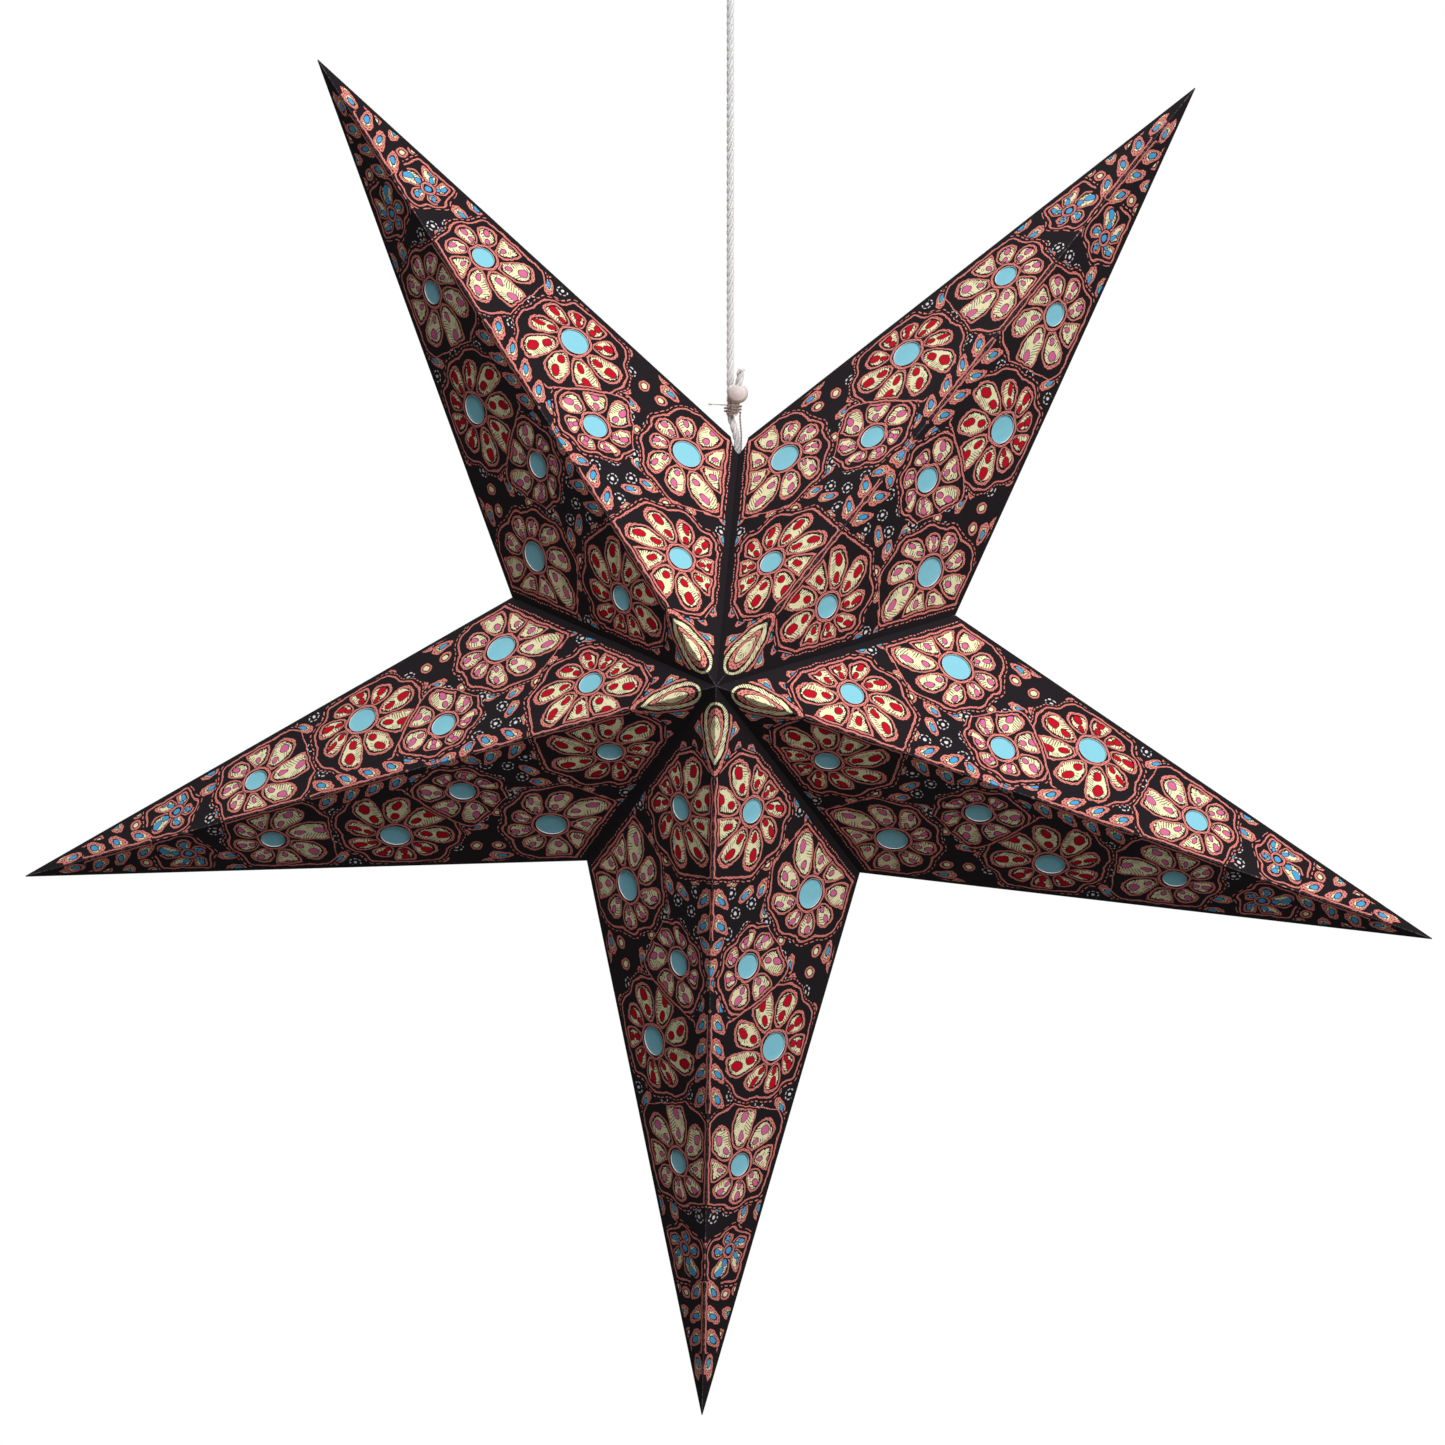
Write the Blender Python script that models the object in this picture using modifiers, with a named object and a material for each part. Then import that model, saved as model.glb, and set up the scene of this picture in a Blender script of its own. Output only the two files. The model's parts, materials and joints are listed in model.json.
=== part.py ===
"""A paper star lantern: five hollow folded arms, closed at a tied seam and hung on a twisted cord.

Metres, +Z up. The origin is the top of the hanging loop, where a hook carries it. The front faces -Y.
"""

import math

import bmesh
import bpy
from mathutils import Matrix, Vector

# Star: five arms around a front-to-back axis
ARM_NAMES = ("upper_left", "upper_right", "lower_right", "bottom", "lower_left")
TIP_RADIUS = 0.3154  # centre to the tip of an arm, 0.6 m across the two side tips
NOTCH_RADIUS = 0.0988  # centre to the notch between two arms
APEX_DEPTH = 0.085  # mid plane to the front or back apex
CANT = math.radians(2.2)  # how far the whole star hangs turned clockwise
CENTRE_DROP = 0.3355  # top of the hanging loop down to the star's centre

# Paper
PAPER = 0.0004
TISSUE = 0.0002
GAP = 0.0003  # between neighbouring faces
FOLD_CLEAR = GAP / 2  # each panel's distance to its crease or glue line
TIP_BLUNT = 0.0025  # how far short of the sharp corner a tip ends
FLAP_WIDTH = 0.012
FLAP_START = 0.008  # distance from the centre axis to a flap's inner end
FLAP_END = 0.001  # distance from the mid plane to a flap's outer end
LINER_TIP = 0.012  # length of the narrow tip that the tissue leaves free

# Round windows of a panel: distance along the ridge from the apex, distance from the ridge, radius
WINDOWS = (
    (0.0580, 0.0215, 0.0060),
    (0.1020, 0.0560, 0.0074),
    (0.1260, 0.0210, 0.0066),
    (0.1660, 0.0370, 0.0070),
    (0.2150, 0.0190, 0.0055),
)
WINDOW_SIDES = 14
CUT_OVERRUN = 0.004  # how far every cutter runs past the paper
WELD = 0.00001

# Seam at the top notch
CORD_HOLE = 0.0036  # radius of the opening that the cord goes in by
LACE_HOLE = 0.0024  # radius of the holes in the seam flaps
LACE_ALONG = 0.022  # notch to a lacing hole, along the valley edge
LACE_DEEP = 0.0065  # valley edge to a lacing hole

# Cord, twine and bead
CORD = 0.0032  # diameter
TWINE = 0.0008
BEAD_RADIUS = 0.0044
BEAD_BORE = 0.0019  # radius
BEAD_TRAVEL = 0.005  # how far it slides up the short cord end
BINDING_RISE = 0.0147  # notch up to the middle of the binding
BINDING_HEIGHT = NOTCH_RADIUS + BINDING_RISE  # star's centre up to the middle of the binding
BINDING_TURNS = 2.25
BINDING_PITCH = 0.00125
TURN_POINTS = 24
LOOSE_END = 0.0105  # length of twine that sticks out of the binding
END_LEAN = math.radians(17.4)  # lean of the short cord end, away from the cord
END_TURN = math.radians(-58)  # its heading, seen from above
END_TAIL = BEAD_TRAVEL + 0.0012  # length above the bead
END_FOOT = 0.0006  # length below the binding
STOPPER_KNOT = 0.004  # radius
TWINE_KNOT = 0.0012
LOOP_KNOT = Vector((0.0052, 0.0046, 0.0042))  # half sizes
LOOP_HEIGHT = 0.0290  # top of the knot to the top of the loop
LOOP_WIDTH = 0.0160
CORD_STEP = 2.4 * CORD
TWINE_STEP = 2.0 * TWINE

# Colours (linear) and roughness
PRINTED_PAPER = (0.030, 0.014, 0.014)
FLAP_PAPER = (0.010, 0.009, 0.010)
BLUE_TISSUE = (0.090, 0.380, 0.540)
COTTON = (0.780, 0.760, 0.740)
BROWN_TWINE = (0.190, 0.130, 0.110)
BEAD_WOOD = (0.680, 0.600, 0.560)
PAPER_ROUGH, FABRIC_ROUGH, BEAD_ROUGH = 0.85, 0.9, 0.6

HALF_SECTOR = math.pi / len(ARM_NAMES)
CENTRE = Vector((0, 0, -CENTRE_DROP))

# One facet, in the frame of an arm that points up: front right, then mirrored for the rest
NOTCH_DIRECTION = Vector((math.sin(HALF_SECTOR), 0, math.cos(HALF_SECTOR)))
NOTCH = NOTCH_RADIUS * NOTCH_DIRECTION
VALLEY_NORMAL = Vector((math.cos(HALF_SECTOR), 0, -math.sin(HALF_SECTOR)))
BASE_HALF_WIDTH = NOTCH.x * TIP_RADIUS / (TIP_RADIUS - NOTCH.z)
APEX = Vector((0, -APEX_DEPTH, 0))
TIP = Vector((0, 0, TIP_RADIUS))
RIDGE = (TIP - APEX).normalized()
FACET_NORMAL = (NOTCH - APEX).cross(TIP - APEX).normalized()
if FACET_NORMAL.y > 0:
    FACET_NORMAL.negate()
ACROSS = RIDGE.cross(FACET_NORMAL)
FACET_DISTANCE = TIP.dot(FACET_NORMAL)
FLAP_SINE = math.sqrt(1 - FACET_NORMAL.dot(VALLEY_NORMAL) ** 2)

# The seam's own frame: n to the right of the seam, y to the back, s outward to the notch
SEAM_OUT = Vector((math.sin(CANT), 0, math.cos(CANT)))
SEAM_RIGHT = Vector((math.cos(CANT), 0, -math.sin(CANT)))
EDGE_S = NOTCH_RADIUS / math.hypot(NOTCH_RADIUS, APEX_DEPTH)
EDGE_Y = APEX_DEPTH / math.hypot(NOTCH_RADIUS, APEX_DEPTH)
LACE_S = NOTCH_RADIUS - LACE_ALONG * EDGE_S - LACE_DEEP * EDGE_Y
LACE_Y = LACE_ALONG * EDGE_Y - LACE_DEEP * EDGE_S


def seam(n, y, s):
    """A point given from the seam: to its right, to the back, and out from the star's centre."""
    return CENTRE + n * SEAM_RIGHT + Vector((0, y, 0)) + s * SEAM_OUT


def new_collection(name):
    made = bpy.data.collections.new(name)
    bpy.context.scene.collection.children.link(made)
    return made


def new_material(name, colour, roughness):
    made = bpy.data.materials.new(name)
    made.use_nodes = True
    shader = made.node_tree.nodes["Principled BSDF"]
    shader.inputs["Base Color"].default_value = (*colour, 1)
    shader.inputs["Roughness"].default_value = roughness
    shader.inputs["Metallic"].default_value = 0
    return made


def add_object(name, data, collection, material=None, parent=None, location=(0, 0, 0)):
    made = bpy.data.objects.new(name, data)
    collection.objects.link(made)
    made.parent = parent
    made.location = location
    if material and not data.materials:
        data.materials.append(material)
    return made


def add_cutter(name, mesh, collection):
    cutter = add_object(name, mesh, collection)
    cutter.hide_render = True
    cutter.display_type = "WIRE"
    return cutter


def trimmed(bm, planes, fill=True):
    """Cuts off what lies past each plane, given as a point and the normal of the side that goes."""
    for point, normal in planes:
        cut = bmesh.ops.bisect_plane(
            bm,
            geom=bm.verts[:] + bm.edges[:] + bm.faces[:],
            plane_co=point,
            plane_no=normal,
            clear_outer=True,
        )["geom_cut"]
        edges = [item for item in cut if isinstance(item, bmesh.types.BMEdge)]
        if fill and edges:
            bmesh.ops.edgeloop_fill(bm, edges=edges)
    bmesh.ops.remove_doubles(bm, verts=bm.verts, dist=WELD)
    return bm


def pyramid(inset=0.0, closed=True):
    """An arm's four outer faces, moved inward by the inset. The base lies at the star's centre."""
    bm = bmesh.new()
    size = (FACET_DISTANCE - inset) / FACET_DISTANCE
    bmesh.ops.create_cone(
        bm, cap_ends=closed, segments=4, radius1=1, radius2=0, depth=TIP_RADIUS
    )
    bmesh.ops.translate(bm, verts=bm.verts, vec=TIP / 2)
    bmesh.ops.scale(bm, verts=bm.verts, vec=(BASE_HALF_WIDTH, APEX_DEPTH, 1))
    bmesh.ops.scale(bm, verts=bm.verts, vec=(size, size, size))
    return bm


def finished(bm, name):
    bmesh.ops.recalc_face_normals(bm, faces=bm.faces)
    mesh = bpy.data.meshes.new(name)
    bm.to_mesh(mesh)
    bm.free()
    return mesh


def panel_mesh():
    """A quarter of the pyramid, cut to the paper's thickness and mitred along its three creases."""
    inner = FACET_DISTANCE - PAPER
    planes = (
        (Vector((FOLD_CLEAR, 0, 0)), Vector((-1, 0, 0))),
        (Vector((0, -FOLD_CLEAR, 0)), Vector((0, 1, 0))),
        (-FOLD_CLEAR * VALLEY_NORMAL, VALLEY_NORMAL),
        (inner * FACET_NORMAL, -FACET_NORMAL),
        (TIP - Vector((0, 0, TIP_BLUNT)), Vector((0, 0, 1))),
    )
    return finished(trimmed(pyramid(), planes), "panel")


def flap_mesh(name, end):
    """A glue flap: a strip in the valley plane that runs inward from a panel's valley edge."""
    outer = FACET_DISTANCE - PAPER - GAP
    inner = outer - FLAP_WIDTH * FLAP_SINE
    planes = (
        (Vector((0, -end, 0)), Vector((0, 1, 0))),
        (-FOLD_CLEAR * VALLEY_NORMAL, VALLEY_NORMAL),
        (-(FOLD_CLEAR + PAPER) * VALLEY_NORMAL, -VALLEY_NORMAL),
        (outer * FACET_NORMAL, FACET_NORMAL),
        (inner * FACET_NORMAL, -FACET_NORMAL),
        (FLAP_START * NOTCH_DIRECTION, -NOTCH_DIRECTION),
    )
    return finished(trimmed(pyramid(), planes), name)


def liner_mesh():
    """The tissue inside an arm: the same pyramid, open at the star's centre and at its narrow tip."""
    back_off = FOLD_CLEAR + PAPER + GAP
    other = Vector((-VALLEY_NORMAL.x, 0, VALLEY_NORMAL.z))
    planes = (
        (-back_off * VALLEY_NORMAL, VALLEY_NORMAL),
        (-back_off * other, other),
        (TIP - Vector((0, 0, LINER_TIP)), Vector((0, 0, 1))),
    )
    return finished(trimmed(pyramid(PAPER + GAP, False), planes, False), "liner")


def rod_between(bm, start, end, radius, sides):
    """Adds a cylinder from one point to another."""
    axis = end - start
    turn = Vector((0, 0, 1)).rotation_difference(axis).to_matrix().to_4x4()
    bmesh.ops.create_cone(
        bm,
        cap_ends=True,
        segments=sides,
        radius1=radius,
        radius2=radius,
        depth=axis.length,
        matrix=Matrix.Translation((start + end) / 2) @ turn,
    )


def window_cutter(collection):
    bm = bmesh.new()
    for along, across, radius in WINDOWS:
        point = APEX + along * RIDGE + across * ACROSS
        reach = CUT_OVERRUN * FACET_NORMAL
        rod_between(bm, point - reach, point + reach, radius, WINDOW_SIDES)
    return add_cutter("window_cutter", finished(bm, "windows"), collection)


def cord_hole_cutter(collection):
    bm = bmesh.new()
    start = (NOTCH_RADIUS - APEX_DEPTH / 2) * NOTCH_DIRECTION
    end = NOTCH + APEX_DEPTH / 2 * NOTCH_DIRECTION
    rod_between(bm, start, end, CORD_HOLE, WINDOW_SIDES)
    return add_cutter("cord_hole_cutter", finished(bm, "cord_hole"), collection)


def lace_hole_cutter(collection):
    bm = bmesh.new()
    point = LACE_S * NOTCH_DIRECTION - Vector((0, LACE_Y, 0))
    reach = CUT_OVERRUN * VALLEY_NORMAL
    rod_between(bm, point - reach, point + reach, LACE_HOLE, WINDOW_SIDES)
    return add_cutter("lace_hole_cutter", finished(bm, "lace_hole"), collection)


def modified(mesh, name, collection, cutters=(), thickness=0.0):
    """The mesh after a Solidify inward and a cut by each cutter."""
    work = add_object(name, mesh, collection)
    if thickness:
        shell = work.modifiers.new("sheet", "SOLIDIFY")
        shell.thickness = thickness
        shell.offset = -1
        shell.use_even_offset = True
    for cutter in cutters:
        cut = work.modifiers.new(cutter.name, "BOOLEAN")
        cut.operation = "DIFFERENCE"
        cut.object = cutter
    bpy.context.view_layer.update()
    graph = bpy.context.evaluated_depsgraph_get()
    made = bpy.data.meshes.new_from_object(work.evaluated_get(graph))
    made.name = name
    bpy.data.objects.remove(work)
    return made


def add_arms(parts, cutters, star):
    """Twenty panels, twenty flaps and five liners, each arm under an empty on the centre axis."""
    windows = window_cutter(cutters)
    hole = cord_hole_cutter(cutters)
    lace = lace_hole_cutter(cutters)
    printed = new_material("printed_paper", PRINTED_PAPER, PAPER_ROUGH)
    plain = new_material("black_paper", FLAP_PAPER, PAPER_ROUGH)
    tissue = new_material("blue_tissue", BLUE_TISSUE, PAPER_ROUGH)
    panel = modified(panel_mesh(), "panel", cutters, (windows,))
    seam_panel = modified(panel, "seam_panel", cutters, (hole,))
    flap = flap_mesh("flap", FLAP_END)
    seam_flap = modified(flap_mesh("seam_flap", CORD_HOLE), "seam_flap", cutters, (lace,))
    liner = modified(liner_mesh(), "liner", cutters, (), TISSUE)
    seam_liner = modified(liner, "seam_liner", cutters, (hole,))
    for index, name in enumerate(ARM_NAMES):
        arm = add_object(name, None, parts, parent=star)
        arm.rotation_euler.y = CANT + (2 * index - 1) * HALF_SECTOR
        seam_side = {"upper_left": 1, "upper_right": -1}.get(name, 0)
        for side, side_name in ((-1, "left"), (1, "right")):
            at_seam = side == seam_side
            for face, face_name in ((1, "front"), (-1, "back")):
                place = f"{face_name}_{side_name}"
                for kind, mesh, material in (
                    ("panel", seam_panel if at_seam else panel, printed),
                    ("flap", seam_flap if at_seam else flap, plain),
                ):
                    piece = add_object(f"{name}_{kind}_{place}", mesh, parts, material, arm)
                    piece.scale = (side, face, 1)
        inside = add_object(
            f"{name}_liner", seam_liner if seam_side else liner, parts, tissue, arm
        )
        inside.scale = (seam_side or 1, 1, 1)


def smooth_route(points, step):
    """Points about a step apart on a smooth curve through the given ones."""
    ends = [2 * points[0] - points[1], *points, 2 * points[-1] - points[-2]]
    route = [points[0]]
    for a, b, c, d in zip(ends, ends[1:], ends[2:], ends[3:]):
        count = max(1, round((c - b).length / step))
        for k in range(1, count + 1):
            t = k / count
            route.append(
                0.5
                * (
                    2 * b
                    + (c - a) * t
                    + (2 * a - 5 * b + 4 * c - d) * t**2
                    + (3 * b - a - 3 * c + d) * t**3
                )
            )
    return route


def add_tube(name, route, diameter, parts, material, parent, sides=2):
    """A tube along the route, which is in world coordinates."""
    curve = bpy.data.curves.new(name, "CURVE")
    curve.dimensions = "3D"
    curve.bevel_depth = diameter / 2
    curve.bevel_resolution = sides
    curve.use_fill_caps = True
    spline = curve.splines.new("POLY")
    spline.points.add(len(route) - 1)
    offset = parent.matrix_world.translation
    for point, place in zip(spline.points, route):
        point.co = (*(place - offset), 1)
    return add_object(name, curve, parts, material, parent)


def add_ball(name, centre, half_sizes, parts, material, parent, rings=8):
    bm = bmesh.new()
    bmesh.ops.create_uvsphere(bm, u_segments=2 * rings, v_segments=rings, radius=1)
    bmesh.ops.scale(bm, verts=bm.verts, vec=half_sizes)
    mesh = finished(bm, name)
    mesh.shade_smooth()
    place = centre - parent.matrix_world.translation
    return add_object(name, mesh, parts, material, parent, place)


def end_axis():
    """The short cord end's foot, beside the cord under the binding, and the way that it leans."""
    heading = Vector((math.cos(END_TURN), math.sin(END_TURN), 0))
    low = CENTRE.z + BINDING_HEIGHT - (BINDING_TURNS * BINDING_PITCH + TWINE) / 2
    foot = (CORD / math.cos(END_LEAN) + GAP) * heading + Vector((0, 0, low - END_FOOT))
    return foot, math.cos(END_LEAN) * Vector((0, 0, 1)) + math.sin(END_LEAN) * heading


def end_at(height):
    """The point on the short cord end's axis at a height."""
    foot, axis = end_axis()
    return foot + (height - foot.z) / axis.z * axis


def binding_route():
    """The twine's loose end, then its turns round the cord and the short cord end."""
    away = CORD / 2 / math.cos(END_LEAN) + GAP + TWINE / 2
    low = CENTRE.z + BINDING_HEIGHT - BINDING_TURNS * BINDING_PITCH / 2
    count = round(BINDING_TURNS * TURN_POINTS)
    turns = []
    for k in range(count + 1):
        angle = -math.pi / 2 + 2 * math.pi * k / TURN_POINTS
        height = low + BINDING_TURNS * BINDING_PITCH * (1 - k / count)
        out = Vector((math.cos(angle), math.sin(angle), 0))
        cord_end = end_at(height)
        cord_end.z = 0
        middle = cord_end if out.dot(cord_end) > 0 else Vector((0, 0, 0))
        turns.append(middle + away * out + Vector((0, 0, height)))
    start = turns[0]
    loose = [
        start + Vector((-share * LOOSE_END, -bow * TWINE, bow * TWINE / 2))
        for share, bow in ((1.0, 1.2), (0.7, 0.9), (0.4, 0.5), (0.15, 0.15))
    ]
    return turns, loose


def least_gap(route, diameter, apart):
    """The smallest clear distance between parts of a tube that lie more than some points apart."""
    least = math.inf
    for i, a in enumerate(route):
        for b in route[i + apart :]:
            least = min(least, (a - b).length - diameter)
    return least


def add_hanger(parts, hanger):
    cotton = new_material("cotton_cord", COTTON, FABRIC_ROUGH)
    top = -LOOP_HEIGHT
    knot = top - LOOP_KNOT.z
    add_ball("loop_knot", Vector((0, 0, knot)), LOOP_KNOT, parts, cotton, hanger)
    foot = top + GAP
    # The feet stand on the knot's rounded top, so they start where it has curved down
    shares = (
        (-0.11, 0.0),
        (-0.34, 0.26),
        (-0.5, 0.60),
        (-0.36, 0.88),
        (0.0, 1.0),
        (0.36, 0.88),
        (0.5, 0.60),
        (0.34, 0.26),
        (0.11, 0.0),
    )
    rise = CORD / 2 - foot
    loop = [Vector((a * LOOP_WIDTH, 0, foot + b * rise)) for a, b in shares]
    tube = smooth_route(loop, CORD_STEP / 2)
    add_tube("hanging_loop", tube, CORD, parts, cotton, hanger)
    start = Vector((0, 0, knot - LOOP_KNOT.z - GAP))
    end = Vector((0, 0, CENTRE.z + BINDING_HEIGHT + FOLD_CLEAR))
    add_tube("hanging_cord", smooth_route([start, end], CORD_STEP), CORD, parts, cotton, hanger)
    return cotton


def add_tie(parts, tie, cotton):
    """What joins the lantern to its cord: binding, strands into the notch, knots and the short end."""
    twine = new_material("brown_twine", BROWN_TWINE, FABRIC_ROUGH)
    turns, loose = binding_route()
    gap = least_gap(turns, TWINE, TURN_POINTS // 2)
    print(f"least gap between the turns of the binding: {gap * 1000:.2f} mm")
    add_tube("binding_twine", [*loose, *turns], TWINE, parts, twine, tie, 1)

    foot, axis = end_axis()
    bead_low = CENTRE.z + BINDING_HEIGHT + (BINDING_TURNS * BINDING_PITCH + TWINE) / 2 + GAP
    centre = end_at(bead_low + BEAD_RADIUS)
    tail = centre + (BEAD_RADIUS + END_TAIL) * axis
    add_tube("cord_end", smooth_route([foot, tail], CORD_STEP / 2), CORD, parts, cotton, tie)

    split = Vector((0, 0, CENTRE.z + BINDING_HEIGHT - FOLD_CLEAR))
    strand = [
        split,
        split - Vector((0, 0, 0.8 * CORD)),
        seam(-0.6 * CORD, 0.15 * CORD, NOTCH_RADIUS + 1.6 * CORD),
        seam(-0.28 * CORD, 0.37 * CORD, NOTCH_RADIUS + 0.2 * CORD),
        seam(-0.32 * CORD, 0.38 * CORD, NOTCH_RADIUS - 0.8 * CORD),
        seam(-0.85 * CORD, 0.85 * CORD, LACE_S + 3.8 * CORD),
        seam(-1.4 * CORD, LACE_Y - 0.8 * CORD, LACE_S + 1.9 * CORD),
        seam(-1.2 * CORD, LACE_Y, LACE_S + 0.5 * CORD),
        seam(-0.6 * CORD, LACE_Y, LACE_S),
        seam(FOLD_CLEAR + PAPER, LACE_Y, LACE_S),
    ]
    add_tube("cord_strand", smooth_route(strand, CORD_STEP / 3), CORD, parts, cotton, tie)
    knot = seam(FOLD_CLEAR + PAPER + GAP + STOPPER_KNOT, LACE_Y, LACE_S)
    add_ball("stopper_knot", knot, (STOPPER_KNOT,) * 3, parts, cotton, tie)

    inward = (Vector((0, LACE_Y, LACE_S)) + Vector((0, -EDGE_S, -EDGE_Y)) * (FLAP_WIDTH - LACE_DEEP))
    under = turns[-1] - Vector((0, 0, TWINE / 2 + GAP))
    lace = [
        under,
        under - Vector((0.2 * TWINE, -0.3 * TWINE, 2.5 * TWINE)),
        seam(1.1 * TWINE, -2.5 * TWINE, NOTCH_RADIUS + 4 * TWINE),
        seam(1.6 * TWINE, -4.6 * TWINE, LACE_S + 16 * TWINE),
        seam(3.6 * TWINE, -LACE_Y + 2.5 * TWINE, LACE_S + 6.5 * TWINE),
        seam(3.0 * TWINE, -LACE_Y, LACE_S + 1.6 * TWINE),
        seam(0, -LACE_Y, LACE_S),
        seam(-3.0 * TWINE, -LACE_Y + 0.8 * TWINE, LACE_S - 1.2 * TWINE),
        seam(-3.0 * TWINE, -inward.y - 1.0 * TWINE, inward.z - 0.6 * TWINE),
        seam(0, -inward.y + 1.3 * TWINE, inward.z - 1.5 * TWINE),
        seam(2.6 * TWINE, -inward.y - 0.6 * TWINE, inward.z + 0.4 * TWINE),
    ]
    add_tube("lacing_twine", smooth_route(lace, TWINE_STEP), TWINE, parts, twine, tie, 1)
    way = (lace[-1] - lace[-2]).normalized()
    tied = lace[-1] + (TWINE_KNOT + GAP) * way
    add_ball("twine_knot", tied, (TWINE_KNOT,) * 3, parts, twine, tie, 6)
    return centre, axis


def add_bead(parts, tie, centre, axis):
    """A turned bead with a bore, its origin on the axis that it slides along."""
    profile = bmesh.new()
    steps = 12
    start = math.asin(BEAD_BORE / BEAD_RADIUS)
    rim = []
    for k in range(steps + 1):
        angle = start + (math.pi - 2 * start) * k / steps
        place = (BEAD_RADIUS * math.sin(angle), 0, BEAD_RADIUS * math.cos(angle))
        rim.append(profile.verts.new(place))
    for a, b in zip(rim, rim[1:] + rim[:1]):
        profile.edges.new((a, b))
    mesh = bpy.data.meshes.new("cord_bead")
    profile.to_mesh(mesh)
    profile.free()
    wood = new_material("bead", BEAD_WOOD, BEAD_ROUGH)
    place = centre - tie.matrix_world.translation
    bead = add_object("cord_bead", mesh, parts, wood, tie, place)
    bead.rotation_euler = Vector((0, 0, 1)).rotation_difference(axis).to_euler()
    turn = bead.modifiers.new("turned", "SCREW")
    turn.steps = turn.render_steps = 24
    turn.use_merge_vertices = True
    turn.merge_threshold = WELD
    turn.use_smooth_shade = True
    return bead


def main():
    for old in list(bpy.data.objects):
        bpy.data.objects.remove(old)
    parts = new_collection("paper_star_lantern")
    cutters = new_collection("cutters")
    lantern = add_object("lantern", None, parts)
    hanger = add_object("hanger", None, parts, parent=lantern)
    tie = add_object("tie", None, parts, parent=lantern)
    star = add_object("star", None, parts, parent=tie, location=CENTRE)
    bpy.context.view_layer.update()
    add_arms(parts, cutters, star)
    cotton = add_hanger(parts, hanger)
    centre, axis = add_tie(parts, tie, cotton)
    add_bead(parts, tie, centre, axis)


main()
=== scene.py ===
"""The dressed model of a paper star lantern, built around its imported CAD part.

Metres, +Z up, the front faces -Y, and the origin is the top of the hanging loop. Each arm is one
folded sheet with a printed pattern, round windows cut through it and blue tissue behind them.
"""

import json
from math import asin, copysign, cos, hypot, pi, radians, sin, sqrt, tan

import bmesh
import bpy
from bpy.props import FloatProperty, FloatVectorProperty, IntProperty, PointerProperty
from bpy.types import Operator, Panel, PropertyGroup
from mathutils import Color, Matrix, Vector

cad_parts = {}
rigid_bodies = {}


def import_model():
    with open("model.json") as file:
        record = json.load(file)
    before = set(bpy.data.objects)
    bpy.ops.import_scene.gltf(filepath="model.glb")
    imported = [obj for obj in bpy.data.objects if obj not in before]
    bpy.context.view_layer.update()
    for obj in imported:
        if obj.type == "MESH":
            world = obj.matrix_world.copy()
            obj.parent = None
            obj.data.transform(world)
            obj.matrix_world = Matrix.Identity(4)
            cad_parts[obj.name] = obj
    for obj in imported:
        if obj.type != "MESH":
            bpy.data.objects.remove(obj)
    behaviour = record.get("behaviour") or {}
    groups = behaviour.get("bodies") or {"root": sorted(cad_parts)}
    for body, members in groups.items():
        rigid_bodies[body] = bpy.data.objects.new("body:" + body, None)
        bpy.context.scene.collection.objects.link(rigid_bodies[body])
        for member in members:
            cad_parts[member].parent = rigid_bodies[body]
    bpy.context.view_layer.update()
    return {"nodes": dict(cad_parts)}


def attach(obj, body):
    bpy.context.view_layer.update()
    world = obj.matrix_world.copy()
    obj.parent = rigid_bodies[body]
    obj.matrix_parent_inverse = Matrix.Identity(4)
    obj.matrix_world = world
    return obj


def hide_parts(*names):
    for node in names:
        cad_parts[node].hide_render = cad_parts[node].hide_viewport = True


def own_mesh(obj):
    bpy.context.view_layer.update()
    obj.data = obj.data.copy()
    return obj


for startup_object in list(bpy.data.objects):
    bpy.data.objects.remove(startup_object)
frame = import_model()

bl_info = {
    "name": "Paper star lantern",
    "version": (1, 0, 0),
    "blender": (4, 5, 0),
    "location": "View3D > Sidebar > Lantern",
    "description": "Builds a printed paper star lantern with its cord around the packed part",
    "category": "Object",
}

# The star's sizes, as in the part
ARM_NAMES = ("upper_left", "upper_right", "lower_right", "bottom", "lower_left")
PLACES = ("front_left", "front_right", "back_left", "back_right")
TIP_RADIUS = 0.3154
NOTCH_RADIUS = 0.0988
APEX_DEPTH = 0.085
CANT = radians(2.2)
CENTRE = Vector((0, 0, -0.3355))
HALF_SECTOR = pi / len(ARM_NAMES)
PAPER = 0.0004
FLAP_WIDTH = 0.012
CORD_HOLE = 0.0036
GAP = 0.0003
FOLD_CLEAR = GAP / 2
NOTCH_DIRECTION = Vector((sin(HALF_SECTOR), 0, cos(HALF_SECTOR)))
NOTCH = NOTCH_RADIUS * NOTCH_DIRECTION
VALLEY_NORMAL = Vector((cos(HALF_SECTOR), 0, -sin(HALF_SECTOR)))
BASE_HALF_WIDTH = NOTCH.x * TIP_RADIUS / (TIP_RADIUS - NOTCH.z)
UP = Vector((0, 0, 1))
APEX = Vector((0, -APEX_DEPTH, 0))
TIP = Vector((0, 0, TIP_RADIUS))
RIDGE = (TIP - APEX).normalized()
FACET_NORMAL = (NOTCH - APEX).cross(TIP - APEX).normalized()
if FACET_NORMAL.y > 0:
    FACET_NORMAL.negate()
ACROSS = RIDGE.cross(FACET_NORMAL)
FACET_DISTANCE = APEX.dot(FACET_NORMAL)

# What the dressed arms add
SHEET_CLEAR = 0.00002  # from a sheet's valley edge to the middle of the valley
CUT_REACH = 0.004  # how far a window's cutter goes to each side of the paper
HOLE_SIDES = 32
CUT_EDGE = 0.0008  # a face of a flap that is narrower is its cut edge
WELD = 0.00001

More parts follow.
